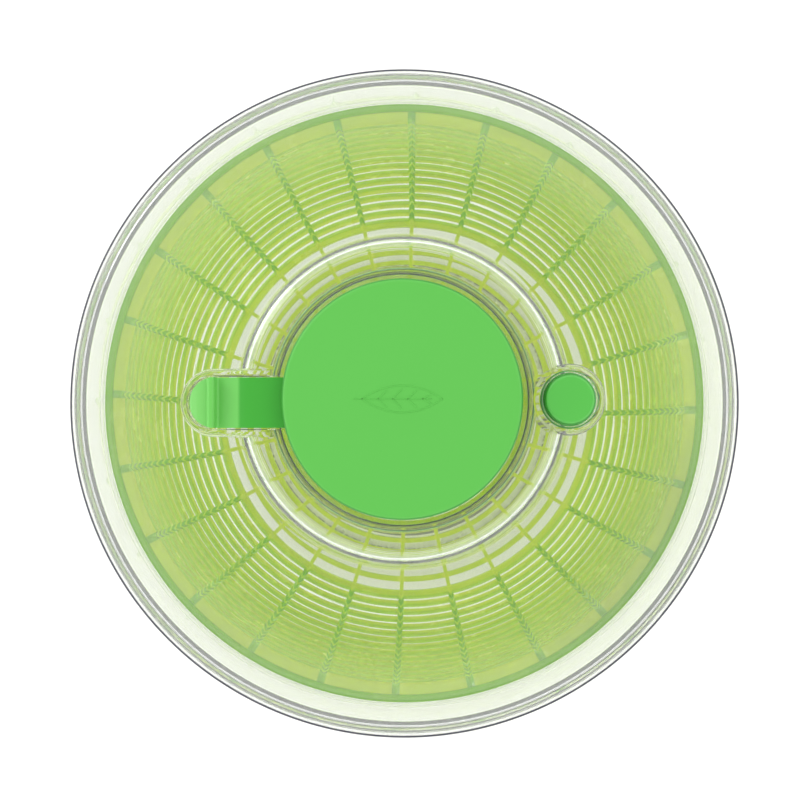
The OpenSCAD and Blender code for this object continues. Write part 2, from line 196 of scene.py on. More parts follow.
def clearPlastic(name, tint, shade, clarity=1.0, roughness=0.02, ior=1.57):
    # Injection-moulded clear styrene copolymer: polished, with faint wipe marks in the gloss.
    # Clarity under 1 is haze in the moulding, which lights up where rays run on inside a wall.
    material = newMaterial(name)
    where = addNode(material, "ShaderNodeTexCoord")
    marks = addNode(material, "ShaderNodeTexNoise", {"Scale": 60.0, "Detail": 4.0, "Roughness": 0.6},
                    {"Vector": where.outputs["Object"]})
    gloss = addNode(material, "ShaderNodeMapRange",
                    {"From Min": 0.35, "From Max": 0.75, "To Min": roughness * 0.6,
                     "To Max": roughness * 1.8},
                    {"Value": marks.outputs["Fac"]})
    skin = addNode(material, "ShaderNodeBsdfPrincipled",
                   {"Base Color": srgb(tint), "Transmission Weight": clarity, "IOR": ior},
                   {"Roughness": gloss.outputs["Result"]})
    ray = addNode(material, "ShaderNodeLightPath")
    through = addNode(material, "ShaderNodeBsdfTransparent", {"Color": srgb(shade)})
    both = addNode(material, "ShaderNodeMixShader", {},
                   {0: ray.outputs["Is Shadow Ray"], 1: skin.outputs[0], 2: through.outputs[0]})
    addNode(material, "ShaderNodeOutputMaterial", {}, {"Surface": both.outputs[0]})
    return material


def mouldedPlastic(name, face, grain, roughness, bumpHeight):
    # Opaque moulded plastic or elastomer with a fine etched texture, in two close shades.
    material = newMaterial(name)
    where = addNode(material, "ShaderNodeTexCoord")
    fine = addNode(material, "ShaderNodeTexNoise", {"Scale": 1400.0, "Detail": 3.0, "Roughness": 0.6},
                   {"Vector": where.outputs["Object"]})
    cloud = addNode(material, "ShaderNodeTexNoise", {"Scale": 22.0, "Detail": 3.0, "Roughness": 0.5},
                    {"Vector": where.outputs["Object"]})
    colour = addNode(material, "ShaderNodeMix", {"data_type": "RGBA"}, {"Factor": cloud.outputs["Fac"]})
    colour.inputs["A"].default_value = srgb(face)
    colour.inputs["B"].default_value = srgb(grain)
    gloss = addNode(material, "ShaderNodeMapRange",
                    {"From Min": 0.3, "From Max": 0.7, "To Min": roughness - 0.05,
                     "To Max": roughness + 0.06},
                    {"Value": fine.outputs["Fac"]})
    bump = addNode(material, "ShaderNodeBump", {"Strength": 0.25, "Distance": bumpHeight * mm},
                   {"Height": fine.outputs["Fac"]})
    skin = addNode(material, "ShaderNodeBsdfPrincipled", {"IOR": 1.5},
                   {"Base Color": colour.outputs["Result"], "Roughness": gloss.outputs["Result"],
                    "Normal": bump.outputs["Normal"]})
    addNode(material, "ShaderNodeOutputMaterial", {}, {"Surface": skin.outputs[0]})
    return material


# Colours along the tab's length: a paler painted light on the thumb end and a deeper painted shade on the
# flat tongue by the knob; face is the plain green between.
tabLook = {"paintedLitEnd": "#7ccf68", "face": "#6cc658", "paintedShadeTongue": "#3fa834",
           "paintedLitEndX": -73.6, "paintedShadeFromX": -61.5, "blend": 0.6}


def tabPlastic(name, look):
    # Moulded green plastic with painted light and shade along x: a paler painted light on the thumb end, and
    # a deeper painted shade on the flat tongue next to the knob.
    material = mouldedPlastic(name, look["face"], look["face"], 0.35, 0.01)
    tree = material.node_tree
    skin = [node for node in tree.nodes if node.type == "BSDF_PRINCIPLED"][0]
    where = addNode(material, "ShaderNodeTexCoord")
    split = addNode(material, "ShaderNodeSeparateXYZ", {}, {"Vector": where.outputs["Object"]})
    previous = None
    # Each step blends in a colour past an x edge: painted light beyond the thumb end's edge, painted shade
    # beyond the tongue's edge.
    for edge, inner, outer in ((look["paintedLitEndX"], look["face"], look["paintedLitEnd"]),
                               (look["paintedShadeFromX"], look["paintedShadeTongue"], look["face"])):
        step = addNode(material, "ShaderNodeMapRange",
                       {"From Min": (edge - look["blend"]) * mm, "From Max": (edge + look["blend"]) * mm},
                       {"Value": split.outputs["X"]})
        mix = addNode(material, "ShaderNodeMix", {"data_type": "RGBA"}, {"Factor": step.outputs["Result"]})
        mix.inputs["A"].default_value = srgb(outer)
        mix.inputs["B"].default_value = srgb(inner)
        if previous:
            tree.links.new(previous.outputs["Result"], mix.inputs["A"])
        previous = mix
    tree.links.new(previous.outputs["Result"], skin.inputs["Base Color"])
    return material


def brushedSteel(name):
    # Drawn stainless wire and stamped strip, with a fine satin break in the shine.
    material = newMaterial(name)
    where = addNode(material, "ShaderNodeTexCoord")
    lines = addNode(material, "ShaderNodeTexNoise", {"Scale": 900.0, "Detail": 2.0},
                    {"Vector": where.outputs["Object"]})
    gloss = addNode(material, "ShaderNodeMapRange",
                    {"From Min": 0.3, "From Max": 0.7, "To Min": 0.2, "To Max": 0.38},
                    {"Value": lines.outputs["Fac"]})
    skin = addNode(material, "ShaderNodeBsdfPrincipled",
                   {"Base Color": srgb("#c9cacb"), "Metallic": 1.0}, {"Roughness": gloss.outputs["Result"]})
    addNode(material, "ShaderNodeOutputMaterial", {}, {"Surface": skin.outputs[0]})
    return material


# deep and glow are the painted shade and painted light ends of the basket's tone ramp; body is the plain
# lime.
limeLook = {"body": "#cfe91a", "deep": "#86c618", "glow": "#faf860", "roughness": 0.22, "ior": 1.5,
            "alpha": 0.76, "shade": "#f6fae4"}


def limePlastic(name, look):
    # See-through lime plastic of the basket, coloured by a painted tone per vertex: deep green is painted
    # shade in the pleats and the deepest green is painted on the rim, and yellow is a painted glow on cut
    # edges and low slats.
    material = newMaterial(name)
    where = addNode(material, "ShaderNodeTexCoord")
    tone = addNode(material, "ShaderNodeAttribute", {"attribute_name": "tone"})
    cloud = addNode(material, "ShaderNodeTexNoise", {"Scale": 60.0, "Detail": 3.0, "Roughness": 0.55},
                    {"Vector": where.outputs["Object"]})
    drift = addNode(material, "ShaderNodeMapRange",
                    {"From Min": 0.3, "From Max": 0.7, "To Min": -0.06, "To Max": 0.06},
                    {"Value": cloud.outputs["Fac"]})
    level = addNode(material, "ShaderNodeMath", {"operation": "ADD"},
                    {0: tone.outputs["Fac"], 1: drift.outputs["Result"]})
    colour = addNode(material, "ShaderNodeValToRGB", {}, {"Fac": level.outputs[0]})
    stops = colour.color_ramp.elements
    stops[0].position, stops[0].color = 0.0, srgb(look["deep"])
    stops[1].position, stops[1].color = 1.0, srgb(look["glow"])
    middle = stops.new(0.5)
    middle.color = srgb(look["body"])
    gloss = addNode(material, "ShaderNodeMapRange",
                    {"From Min": 0.3, "From Max": 0.7, "To Min": look["roughness"] * 0.7,
                     "To Max": look["roughness"] * 1.4}, {"Value": cloud.outputs["Fac"]})
    skin = addNode(material, "ShaderNodeBsdfPrincipled", {"IOR": look["ior"], "Alpha": look["alpha"]},
                   {"Base Color": colour.outputs["Color"], "Roughness": gloss.outputs["Result"]})
    ray = addNode(material, "ShaderNodeLightPath")
    through = addNode(material, "ShaderNodeBsdfTransparent", {"Color": srgb(look["shade"])})
    both = addNode(material, "ShaderNodeMixShader", {},
                   {0: ray.outputs["Is Shadow Ray"], 1: skin.outputs[0], 2: through.outputs[0]})
    addNode(material, "ShaderNodeOutputMaterial", {}, {"Surface": both.outputs[0]})
    return material


bowlClear = clearPlastic("clear_styrene_bowl", "#fdfdfd", "#fafafa", 0.93)
rimClear = clearPlastic("clear_styrene_rim", "#fdfdfd", "#fafafa", 0.8)
lidClear = clearPlastic("clear_styrene_lid", "#fdfefd", "#fafafa")
lidWallClear = clearPlastic("clear_styrene_lid_walls", "#fdfefd", "#fafafa", 0.9)
discClear = clearPlastic("clear_styrene_disc", "#fdfefd", "#fafafa")
milky = clearPlastic("milky_elastomer_ring", "#f4f6ee", "#f6f7f2", 0.6, 0.35, 1.45)   # soft, matt, half clear
lime = limePlastic("lime_basket_plastic_painted_light", limeLook)
# Painted dark edge for the bowl rim's chamfer, in place of the dark refraction that a clear edge shows.
rimPaintedDarkEdge = mouldedPlastic("rim_edge_painted_dark", "#15152c", "#1a1a32", 0.3, 0.005)
# Painted shade: a darker green put on the side faces at the knob pad's edge and round the brake button.
edgeShadeGreen = mouldedPlastic("green_edge_painted_shade", "#37992c", "#339428", 0.35, 0.01)
softGreen = mouldedPlastic("soft_touch_green", "#5bbc4a", "#59b948", 0.5, 0.02)
rigidGreen = mouldedPlastic("moulded_green", "#58bb4c", "#54b749", 0.35, 0.01)
tabGreen = tabPlastic("green_with_painted_light_and_shade", tabLook)
acetal = mouldedPlastic("natural_acetal", "#efefea", "#e8e8e2", 0.4, 0.01)
ringSoft = mouldedPlastic("grey_elastomer", "#cdd3d3", "#c5cccc", 0.55, 0.02)
steel = brushedSteel("stainless_wire")

plainNodes = {
    "base_ring": milky, "brake_pad": ringSoft, "pivot_bearing": acetal, "guide_tower": acetal,
    "bearing_bush": acetal, "clutch_rotor": acetal, "drive_nut": acetal, "brake_stem": acetal,
    "tower_screws": steel, "thrust_washer": steel, "rotor_clip": steel, "drive_screw": steel,
    "screw_retainer": steel,
    "pump_knob": rigidGreen}
for nodeName, look in plainNodes.items():
    for holder in nodes[nodeName].material_slots:
        holder.material = look
print("stage: materials")


# Bowl.

bowlShape = {"rimR": 133.7, "rimZ": 151, "wall": 2.6, "topR": 130.2, "taper": 31, "cornerR": 16,
             "floorZ": 3, "lip": 2, "footR": 66, "footW": 7, "pinR": 6, "pinZ": 26, "rimDepth": 5.6,
             "rimLedge": 3.6, "crown": 5, "leanZ": 13, "steps": 40}


def bowlRadius(z):
    return bowlShape["topR"] - bowlShape["taper"] * (1 - z / (bowlShape["rimZ"] - bowlShape["crown"])) ** 2


def bowlSection():
    s = bowlShape
    span = s["rimZ"] - s["crown"]
    lean = math.atan(2 * s["taper"] / span * (1 - s["leanZ"] / span))
    cornerZ = s["floorZ"] + s["cornerR"]
    bottom = cornerZ - s["cornerR"] * math.sin(lean)
    cornerX = bowlRadius(bottom) - s["cornerR"] * math.cos(lean)
    top, ledge, lipR = s["rimZ"] - s["rimDepth"], s["rimZ"] - s["rimLedge"], s["rimR"] - s["lip"]
    heights = [bottom + (top - bottom) * i / s["steps"] for i in range(1, s["steps"] + 1)]
    r0, r1 = s["footR"] - s["footW"] / 2, s["footR"] + s["footW"] / 2
    innerR = bowlRadius(top) - s["wall"]
    deg = -math.degrees(lean)
    foot = roundedSection(
        [(r0 - 1.5, s["floorZ"]), (r0 - 1.5, 1.2), (r0, 1.2), (r0, 2.6), (r1, 2.6), (r1, 1.2),
         (r1 + 1.5, 1.2), (r1 + 1.5, s["floorZ"])], [0, 0.4, 0.2, 0, 0, 0.2, 0.4, 0], 3)
    rim = roundedSection(
        [(bowlRadius(top), top), (s["topR"] + 1.2, top + 0.5), (s["rimR"], s["rimZ"] - 3.9),
         (s["rimR"], s["rimZ"] - 1.3), (s["rimR"] - 0.95, s["rimZ"] - 0.3),
         (s["rimR"] - 1.1, s["rimZ"]), (lipR, s["rimZ"]), (lipR, ledge), (innerR, ledge), (innerR, top)],
        [0, 1.2, 1.0, 0.1, 0.1, 0.2, 0.4, 0.4, 0.8, 0], 6)
    inside = [(bowlRadius(z) - s["wall"], z) for z in reversed(heights)]
    pin = roundedSection(
        [(19, s["floorZ"] + s["wall"]), (11, 7.0), (s["pinR"], 14), (s["pinR"], s["pinZ"]), (0, s["pinZ"])],
        [0, 6, 2, 1.6, 0], 6)
    under = [(0, s["pinZ"] - 4), (2.6, s["pinZ"] - 4), (3.4, 13), (7, 7.5), (12, s["floorZ"])]
    return (under + foot + arc(cornerX, cornerZ, s["cornerR"], -90, deg, 16)
            + [(bowlRadius(z), z) for z in heights[:-1]] + rim + inside[1:]
            + arc(cornerX, cornerZ, s["cornerR"] - s["wall"], deg, -90, 16) + pin)


bowl = lathe("bowl_shell", bowlSection(), 320)
place(bowl, bowlClear, "bowl", "clear_bowl", "bowl")


def isRim(face):
    return face.center.z / mm > bowlShape["rimZ"] - bowlShape["rimDepth"]


def isChamfer(face):
    # Painted dark edge: the chamfer faces get a navy colour so the rim draws as a thin dark line, standing in
    # for the dark refraction at a clear rim's edge.
    radius, height = face.center.xy.length / mm, face.center.z / mm
    return radius > bowlShape["rimR"] - 1.0 and height > bowlShape["rimZ"] - 1.5


dressFaces(bowl, rimClear, isRim)
dressFaces(bowl, rimPaintedDarkEdge, isChamfer)
print("stage: bowl")


# Basket.

basketShape = {"ribs": 24, "phase": -1.6, "slots": 15, "slotZ": 22, "pitch": 8.3, "slotH": 4.0,
               "wall": 1.4, "rimR": 120, "topZ": 146.2, "floorZ": 13, "floorTop": 16,
               "gapR": 85.4, "gapPitch": 6.25, "gaps": 8, "gapW": 3.5, "spokeW": 1.8,
               "pleatLow": 1.3, "pleatHigh": 1.7, "depthLow": 2.2, "depthHigh": 1.5,
               "wallR": 112, "flare": 1.5, "tuck": 20.6, "wallFromZ": 17.5, "wallFullZ": 19,
               "rimFromZ": 143, "pleatAtFloor": 0.4, "pleatAtRim": 0.6, "pleatRound": 0.8,
               "edge": 0.28, "hubZ": 34}

# Painted light and shade on the basket, from 0, deep green, to 1, glowing yellow.
basketLightShadeTones = {"body": 0.5, "slatLowLit": 0.72, "slatTopShaded": 0.22, "lowGlow": 0.14, "spokeEdgeGlow": 0.95,
               "rib": 0.7, "ribPaintedShade": 0.05, "ribPaintedShadeZ": 141, "hub": 0.45, "rim": 0.0}


def wallShare(z):
    # 0 at the lowest row of slots and 1 at the highest.
    s = basketShape
    return (z - s["slotZ"]) / (s["pitch"] * (s["slots"] - 1))


def wallRadius(z):
    s, t = basketShape, wallShare(z)
    return s["wallR"] + s["flare"] * t - s["tuck"] * (1 - t) ** 2


def basketRows():
    # Middle line of the moulding from the floor's web out and up to the rim, as
    # (radius, height, thickness, kind of the band that follows: bar, gap or slot).
    s = basketShape
    mid = (s["floorZ"] + s["floorTop"]) / 2
    thick = s["floorTop"] - s["floorZ"]
    rows = []
    gaps = [(s["gapR"] - s["gapPitch"] * k, s["gapW"] / 2) for k in range(s["gaps"])]
    gaps[0] = (s["gapR"], s["gapW"] / 2 + 0.3)   # the outermost ring of gaps is a little wider
    gaps.reverse()
    rows.append((gaps[0][0] - gaps[0][1] - 1.5, mid, thick, "bar"))
    for r, half in gaps:
        rows.append((r - half, mid, thick, "gap"))
        rows.append((r + half, mid, thick, "bar"))
    for x, z in arc(87.5, 16.6, 2.1, -80, -22, 4):
        rows.append((x, z, 2.2, "bar"))
    for i in range(s["slots"]):
        z = s["slotZ"] + s["pitch"] * i
        low, high = z - s["slotH"] / 2, z + s["slotH"] / 2
        if i == 0:
            rows.append((wallRadius(low - 1.2), low - 1.2, 1.7, "bar"))
        rows.append((wallRadius(low), low, s["wall"], "slot"))
        rows.append((wallRadius(z), z, s["wall"], "slot"))
        rows.append((wallRadius(high), high, s["wall"], "bar"))
        middle = high + (s["pitch"] - s["slotH"]) / 2
        if i < s["slots"] - 1:
            rows.append((wallRadius(middle), middle, s["wall"], "bar"))
    for x, z in [(113.9, 141.3), (114.8, 142.2), (116.0, 142.8), (117.4, 143.4), (118.2, 144.2)]:
        rows.append((x, z, s["wall"], "bar"))
    return rows


def basketLightShadeTone(kind, before, z, onWall, onRib, onSpokeEdge):
    tones = basketLightShadeTones
    # Painted shade on the pleats where they cross the slots and under the rim; elsewhere the pleats are
    # painted lighter than the wall.
    if onWall and onRib:
        return tones["ribPaintedShade"] if "slot" in (kind, before) or z > tones["ribPaintedShadeZ"] else tones["rib"]
    # Painted glow on the spokes' cut edges.
    if onSpokeEdge:
        return tones["spokeEdgeGlow"]
    # Painted shade on the top of each slat, just under a slot.
    if onWall and kind == "slot" and before == "bar":
        return tones["slatTopShaded"]
    # Painted light on the lower edge of each slat, just above a slot, plus a painted glow that grows towards
    # the bottom of the basket.
    slatLowLit = onWall and kind == "bar" and before == "slot"
    lowness = 1 - min(max(wallShare(z), 0), 1)
    return (tones["slatLowLit"] if slatLowLit else tones["body"]) + tones["lowGlow"] * lowness


def buildBasket():
    # Columns of points stand close together over each rib or spoke (near) and evenly between them (far).
    s = basketShape
    rows = basketRows()
    near = [-1.0, -0.82, -0.62, -0.36, 0.0, 0.36, 0.62, 0.82, 1.0]
    far = 10
    columns = s["ribs"] * (len(near) + far)
    outer, inner = [], []
    verts, tones = [], []
    for k, (r, z, thick, kind) in enumerate(rows):
        before, after = rows[max(k - 1, 0)], rows[min(k + 1, len(rows) - 1)]
        along = Vector((after[0] - before[0], after[1] - before[1])).normalized()
        side = Vector((along.y, -along.x))
        t = min(max(wallShare(z), 0), 1)
        onWall = z > s["wallFromZ"]
        half = (s["pleatLow"] + (s["pleatHigh"] - s["pleatLow"]) * t) if onWall else s["spokeW"] / 2
        depth = (s["depthLow"] + (s["depthHigh"] - s["depthLow"]) * t) if onWall else 0
        if z > s["rimFromZ"]:
            depth *= s["pleatAtRim"]
        if s["wallFromZ"] < z < s["wallFullZ"]:
            depth *= s["pleatAtFloor"]
        lower, upper = [], []
        for rib in range(s["ribs"]):
            start = math.radians(s["phase"] + 360 / s["ribs"] * rib)
            span = 2 * math.pi / s["ribs"]
            places = [(n * half / r, 1 - abs(n)) for n in near]
            edge = half / r
            places += [(edge + (span - 2 * edge) * (j + 1) / (far + 1), 0) for j in range(far)]
            for column, (a, lift) in enumerate(places):
                bulge = depth * (lift ** s["pleatRound"] if lift > 0 else 0)
                onSpokeEdge = not onWall and column in (1, len(near) - 2)
                tone = basketLightShadeTone(kind, rows[k - 1][3], z, onWall, lift > 0, onSpokeEdge)
                for sign, store in ((1, lower), (-1, upper)):
                    tones.append(tone)
                    x = r + bulge + side.x * sign * thick / 2
                    y = z + side.y * sign * thick / 2
                    store.append(len(verts))
                    verts.append((x * math.cos(start + a), x * math.sin(start + a), y))
        outer.append(lower)
        inner.append(upper)
    solid = []
    per = len(near) + far
    for k in range(len(rows) - 1):
        kind = rows[k][3]
        solid.append([kind == "bar" or (c % per) < len(near) - 1 for c in range(columns)])
    faces = []
    for k in range(len(rows) - 1):
        for c in range(columns):
            if not solid[k][c]:
                continue
            d = (c + 1) % columns
            faces.append((outer[k][c], outer[k][d], outer[k + 1][d], outer[k + 1][c]))
            faces.append((inner[k][c], inner[k + 1][c], inner[k + 1][d], inner[k][d]))
            if k == 0 or not solid[k - 1][c]:
                faces.append((inner[k][c], inner[k][d], outer[k][d], outer[k][c]))
            if k == len(rows) - 2 or not solid[k + 1][c]:
                faces.append((outer[k + 1][c], outer[k + 1][d], inner[k + 1][d], inner[k + 1][c]))
            if not solid[k][c - 1]:
                faces.append((outer[k][c], outer[k + 1][c], inner[k + 1][c], inner[k][c]))
            if not solid[k][d]:
                faces.append((outer[k][d], inner[k][d], inner[k + 1][d], outer[k + 1][d]))
    piece = meshObject("basket_wall", verts, faces)
    paintTones(piece, tones)
    cage = bmesh.new()
    cage.from_mesh(piece.data)
    loose = [v for v in cage.verts if not v.link_faces]
    bmesh.ops.delete(cage, geom=loose, context="VERTS")
    bmesh.ops.recalc_face_normals(cage, faces=cage.faces)
    cage.to_mesh(piece.data)
    cage.free()
    bevel = piece.modifiers.new("edges", "BEVEL")
    bevel.width = s["edge"] * mm
    bevel.segments = 2
    bevel.limit_method = "ANGLE"
    bevel.angle_limit = math.radians(50)
    return piece


def buildHub():
    s = basketShape
    low, web, top = s["floorZ"], s["floorTop"], s["hubZ"]
    webR = s["gapR"] - s["gapPitch"] * (s["gaps"] - 1) - s["gapW"] / 2
    return lathe("basket_hub_shell", roundedSection(
        [(9.05, 16.3), (12.5, 16.3), (12.5, low), (webR, low), (webR, web), (24, web), (18, 17), (15.4, 20),
         (13.6, top - 5), (11.5, top - 1.4), (7.5, top), (0, top), (0, 29.2), (9.05, 29.2)],
        [0.2, 0.2, 0.4, 0.4, 0.5, 4, 3, 3, 3, 2, 3, 0, 0, 0.3], 5), 160)


def buildRim():
    s = basketShape
    return lathe("basket_rim", roundedSection(
        [(117.0, 143.0), (119.2, 142.8), (s["rimR"], 143.8), (s["rimR"], s["topZ"]),
         (117.6, s["topZ"]), (117.0, 145.4)], [0.4, 0.6, 0.5, 0.7, 0.5, 0.4], 5), 320)


def paintTones(piece, tones):
    piece.data.attributes.new("tone", "FLOAT", "POINT").data.foreach_set("value", tones)


basketWall, hub, rim = buildBasket(), buildHub(), buildRim()
paintTones(hub, [basketLightShadeTones["hub"]] * len(hub.data.vertices))
paintTones(rim, [basketLightShadeTones["rim"]] * len(rim.data.vertices))
place(basketWall, lime, "basket", "lime_basket", "basket")
place(hub, lime, "basket", "lime_basket", "basket_hub")
place(rim, lime, "basket", "lime_basket", "basket")
print("stage: basket")


# Drive disc under the lid.

discShape = roundedSection(
    [(10, 144.8), (15, 144.8), (16.5, 146.8), (22, 149.1), (66, 149.1), (84, 148.6), (102, 147.6),
     (118, 146.5), (120.5, 146.5), (120.5, 143.6), (122, 143.6), (122, 148.3), (118, 148.4),
     (102, 149.4), (84, 150.4), (66, 150.9), (10, 150.9)],
    [0.2, 0.8, 1, 2, 8, 20, 20, 3, 0.5, 0.4, 0.4, 1.2, 3, 20, 20, 8, 0.2], 6)
disc = lathe("drive_disc_shell", discShape, 320)
place(disc, discClear, "rotor", "clear_disc", "drive_disc")
print("stage: disc")


# Lid.

lidShape = {"r": 131.3, "wall": 2.1, "rimZ": 151, "domeH": 7, "deckZ": 187.65, "deckR": 56.5,
            "shoulderR": 5.85, "wellR": 47.2, "wellZ": 154, "tabHalf": 9.5, "tabEnd": 80.3,
            "tabY": -1.2, "houseHalf": 12.9, "houseEnd": 84, "trayZ": 183.7, "brakeX": 63,
            "brakeR": 9.6, "brakeHouseR": 13.6, "domeTop": 9.2, "domeInR": 66, "domeOutR": 119,
            "houseFromZ": 158.2, "cavityZ": 161.2, "stemR": 3.4, "gap": 0.4, "hazyBelow": 0.35}


def domeHeight(r):
    s = lidShape
    return s["rimZ"] + s["domeTop"] - s["domeH"] * ((r - s["domeInR"]) / (s["domeOutR"] - s["domeInR"])) ** 2


def lidSection():
    s = lidShape
    outR, inR, steps = s["domeOutR"], s["domeInR"], 36
    radii = [outR - (outR - 66.4) * i / steps for i in range(steps + 1)]
    rim, wall, deck, well = s["rimZ"], s["wall"], s["deckZ"], s["wellR"]
    foot = domeHeight(inR)
    edge = roundedSection(
        [(124, domeHeight(outR) - wall), (s["r"] - wall, rim - 0.2), (s["r"] - wall, rim - 3.5),
         (s["r"], rim - 3.5), (s["r"], rim + 1.9), (124, domeHeight(outR) + 0.1)],
        [0, 1.4, 0.4, 0.4, 1.7, 0], 6)
    outside = ([(r, domeHeight(r)) for r in radii] + arc(inR, foot + 1.2, 1, -100, -180, 6)
               + arc(s["deckR"], deck - s["shoulderR"], s["shoulderR"], 0, 90, 16))
    wellPart = roundedSection(
        [(s["deckR"] - 2, deck), (well, deck), (well, s["wellZ"]), (12, s["wellZ"]), (12, s["wellZ"] - 2),
         (well + wall, s["wellZ"] - 2), (well + wall, deck - wall), (s["deckR"] - 2, deck - wall)],
        [0, 1.3, 1.0, 0.2, 0.2, 1.6, 1.4, 0], 6)
    inside = (arc(s["deckR"], deck - s["shoulderR"], s["shoulderR"] - wall, 90, 0, 16)
              + arc(66.4, foot + 1.1, 3.1, -165, -95, 8)
              + [(r, domeHeight(r) - wall) for r in reversed(radii)])
    return outside + wellPart + inside + edge


def stadiumSection(half, xRound, xEnd):
    # A slot's outline with a round left end, seen from above and moved to the lock's middle line.
    y, steps = lidShape["tabY"], 40
    ends = [(xRound - half * math.sin(math.pi * i / steps), half * math.cos(math.pi * i / steps) + y)
            for i in range(steps + 1)]
    return ends + [(xEnd, -half + y), (xEnd, half + y)]


def block(name, outline, levels):
    # An upright block with one outline. Each level is (height, how far the outline moves towards its middle).
    verts, faces = [], []
    count = len(outline)
    cx = sum(p[0] for p in outline) / count
    cy = sum(p[1] for p in outline) / count
    for z, inset in levels:
        for x, y in outline:
            out = Vector((x - cx, y - cy))
            keep = 1 - inset / max(out.length, tiny)
            verts.append((cx + out.x * keep, cy + out.y * keep, z))
    for k in range(len(levels) - 1):
        for i in range(count):
            j = (i + 1) % count
            faces.append((k * count + i, k * count + j, (k + 1) * count + j, (k + 1) * count + i))
    faces.append(tuple(range(count)))
    top = (len(levels) - 1) * count
    faces.append(tuple(top + i for i in range(count)))
    piece = meshObject(name, verts, faces)
    recalculate(piece)
    return piece


def combine(base, tool, operation):
    cut = base.modifiers.new(operation, "BOOLEAN")
    cut.operation = operation
    cut.solver = "EXACT"
    cut.object = tool
    graph = bpy.context.evaluated_depsgraph_get()
    result = bpy.data.meshes.new_from_object(base.evaluated_get(graph))
    base.modifiers.clear()
    base.data = result
    bpy.data.objects.remove(tool)


def markEdges(piece, degrees):
    # Smooth faces, with the edges over this angle kept sharp.
    cage = bmesh.new()
    cage.from_mesh(piece.data)
    bmesh.ops.remove_doubles(cage, verts=cage.verts, dist=weld)
    bmesh.ops.recalc_face_normals(cage, faces=cage.faces)
    limit = math.radians(degrees)
    for face in cage.faces:
        face.smooth = True
    for edge in cage.edges:
        edge.smooth = not (len(edge.link_faces) == 2 and edge.calc_face_angle(0) > limit)
    cage.to_mesh(piece.data)
    cage.free()


def buildLid():
    # The turned lid, with the two housings added and then hollowed.
    s = lidShape
    deck, under, low = s["deckZ"], s["deckZ"] - s["wall"], s["houseFromZ"]
    lid = lathe("lid_shell", lidSection(), 320)
    at = (s["brakeX"], 0)
    towerTop = arc(s["brakeHouseR"] - 1.8, deck - 1.8, 1.8, 0, 90, 6)
    tower = lathe("tower", [(0, low), (s["brakeHouseR"], low)] + towerTop + [(0, deck)], 128, at)
    combine(lid, tower, "UNION")
    houseX = -(s["houseEnd"] - s["houseHalf"])
    house = block("house", stadiumSection(s["houseHalf"], houseX, -50),
                  [(low, 0), (deck - 1.4, 0), (deck - 0.75, 0.2), (deck - 0.2, 0.75), (deck, 1.4)])
    combine(lid, house, "UNION")
    cavityR, cavityZ = s["brakeHouseR"] - 2, s["cavityZ"]
    cavity = lathe("cavity", [(0, cavityZ), (cavityR, cavityZ), (cavityR, under), (0, under)], 128, at)
    combine(lid, cavity, "DIFFERENCE")
    stemHole = lathe("stem_hole", [(0, 150), (s["stemR"], 150), (s["stemR"], 170), (0, 170)], 64, at)
    combine(lid, stemHole, "DIFFERENCE")
    holeR, mouthR = s["brakeR"] + s["gap"], s["brakeR"] + 0.9
    buttonHole = lathe("button_hole", [(0, under - 1), (holeR, under - 1), (holeR, deck - 0.5),
                                       (mouthR, deck), (mouthR, deck + 4), (0, deck + 4)], 128, at)
    combine(lid, buttonHole, "DIFFERENCE")
    tabX = -(s["tabEnd"] - s["tabHalf"])
    channel = block("channel", stadiumSection(s["tabHalf"] + s["gap"], tabX, -40),
                    [(s["trayZ"], 0), (deck - 0.5, 0), (deck, -0.5), (deck + 4, -0.5)])
    combine(lid, channel, "DIFFERENCE")
    hollow = block("hollow", stadiumSection(s["houseHalf"] - 2, houseX, -51.6),
                   [(150, 0), (s["trayZ"] - 2, 0)])
    combine(lid, hollow, "DIFFERENCE")
    markEdges(lid, 35)
    return lid


lid = buildLid()
place(lid, lidClear, "lid", "clear_lid", "lid_cover")
dressFaces(lid, lidWallClear, lambda face: abs(face.normal.z) < lidShape["hazyBelow"])   # the upright walls
print("stage: lid")


# Springs.

springs = {
    "clutch_spring": {"radius": 10.2, "wire": 0.5, "low": 176.5, "high": 181.6, "turns": 3, "x": 0},
    "return_spring": {"radius": 28, "wire": 0.9, "low": 154.2, "high": 187.7, "turns": 7, "x": 0},
    "brake_spring": {"radius": 6.6, "wire": 0.45, "low": 161.4, "high": 182.8, "turns": 7,
                     "x": lidShape["brakeX"]}}


def coil(name, spring, perTurn=48, sides=12):
    # Round wire wound into a plain coil, with flat cut ends. The wire's value is its radius.
    steps = spring["turns"] * perTurn
    rise = spring["high"] - spring["low"] - 2 * spring["wire"]
    verts, faces = [], []
    for i in range(steps + 1):
        a = 2 * math.pi * i / perTurn
        for j in range(sides):
            b = 2 * math.pi * j / sides
            r = spring["radius"] + spring["wire"] * math.cos(b)
            z = spring["low"] + spring["wire"] + rise * i / steps + spring["wire"] * math.sin(b)
            verts.append((spring["x"] + r * math.cos(a), r * math.sin(a), z))
    for i in range(steps):
        for j in range(sides):
            k = (j + 1) % sides
            faces.append((i * sides + j, (i + 1) * sides + j, (i + 1) * sides + k, i * sides + k))
    faces.append(tuple(range(sides)))
    faces.append(tuple(steps * sides + j for j in range(sides)))
    piece = meshObject(name, verts, faces)
    recalculate(piece)
    return piece


for springName, spring in springs.items():
    wound = coil(springName + "_coil", spring)
    place(wound, steel, "lid", "steel", springName)
    if springName == "brake_spring":
        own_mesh(wound)
print("stage: springs")


# Knob, lock tab and brake button.

padShape = {"r": 45, "inR": 43.9, "skirtZ": 191, "underZ": 194, "topZ": 197, "edgeFrom": 44.35}


